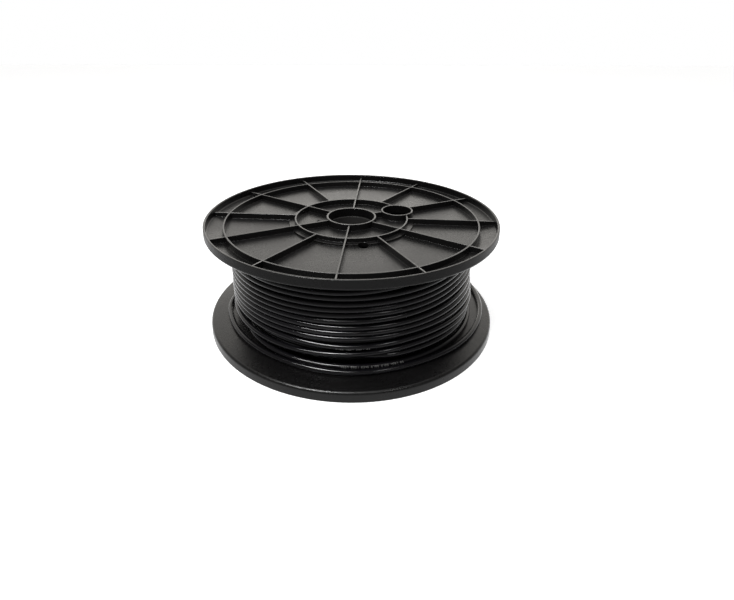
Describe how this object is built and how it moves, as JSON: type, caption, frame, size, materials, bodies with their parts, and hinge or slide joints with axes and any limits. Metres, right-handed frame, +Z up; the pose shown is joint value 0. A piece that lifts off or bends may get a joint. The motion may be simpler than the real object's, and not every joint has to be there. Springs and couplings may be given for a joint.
{
  "type": "wire spool",
  "caption": "Ribbed plastic spool with two rimmed flanges on a barrel and a through bore, wound with glossy black insulated wire.",
  "frame": {"origin": "centre of the circle that the lower rim stands on, on the spool's axis", "axes": "+Z up along the bore; -Y is the side seen from the front in the picture"},
  "size_m": [0.25, 0.25, 0.095],
  "materials": {
    "moulded_plastic": "satin black, moulded",
    "barrel_plastic": "satin black, moulded",
    "wire_jacket": "glossy black soft plastic",
    "copper": "bare copper strands, bright cut end"
  },
  "bodies": {
    "root": {"upper_flange": "moulded_plastic", "lower_flange": "moulded_plastic", "barrel": "barrel_plastic", "arbor_tube": "barrel_plastic", "wire_inner_layers": "wire_jacket", "wire_outer_layer": "wire_jacket", "wire_conductor": "copper"}
  },
  "joints": []
}
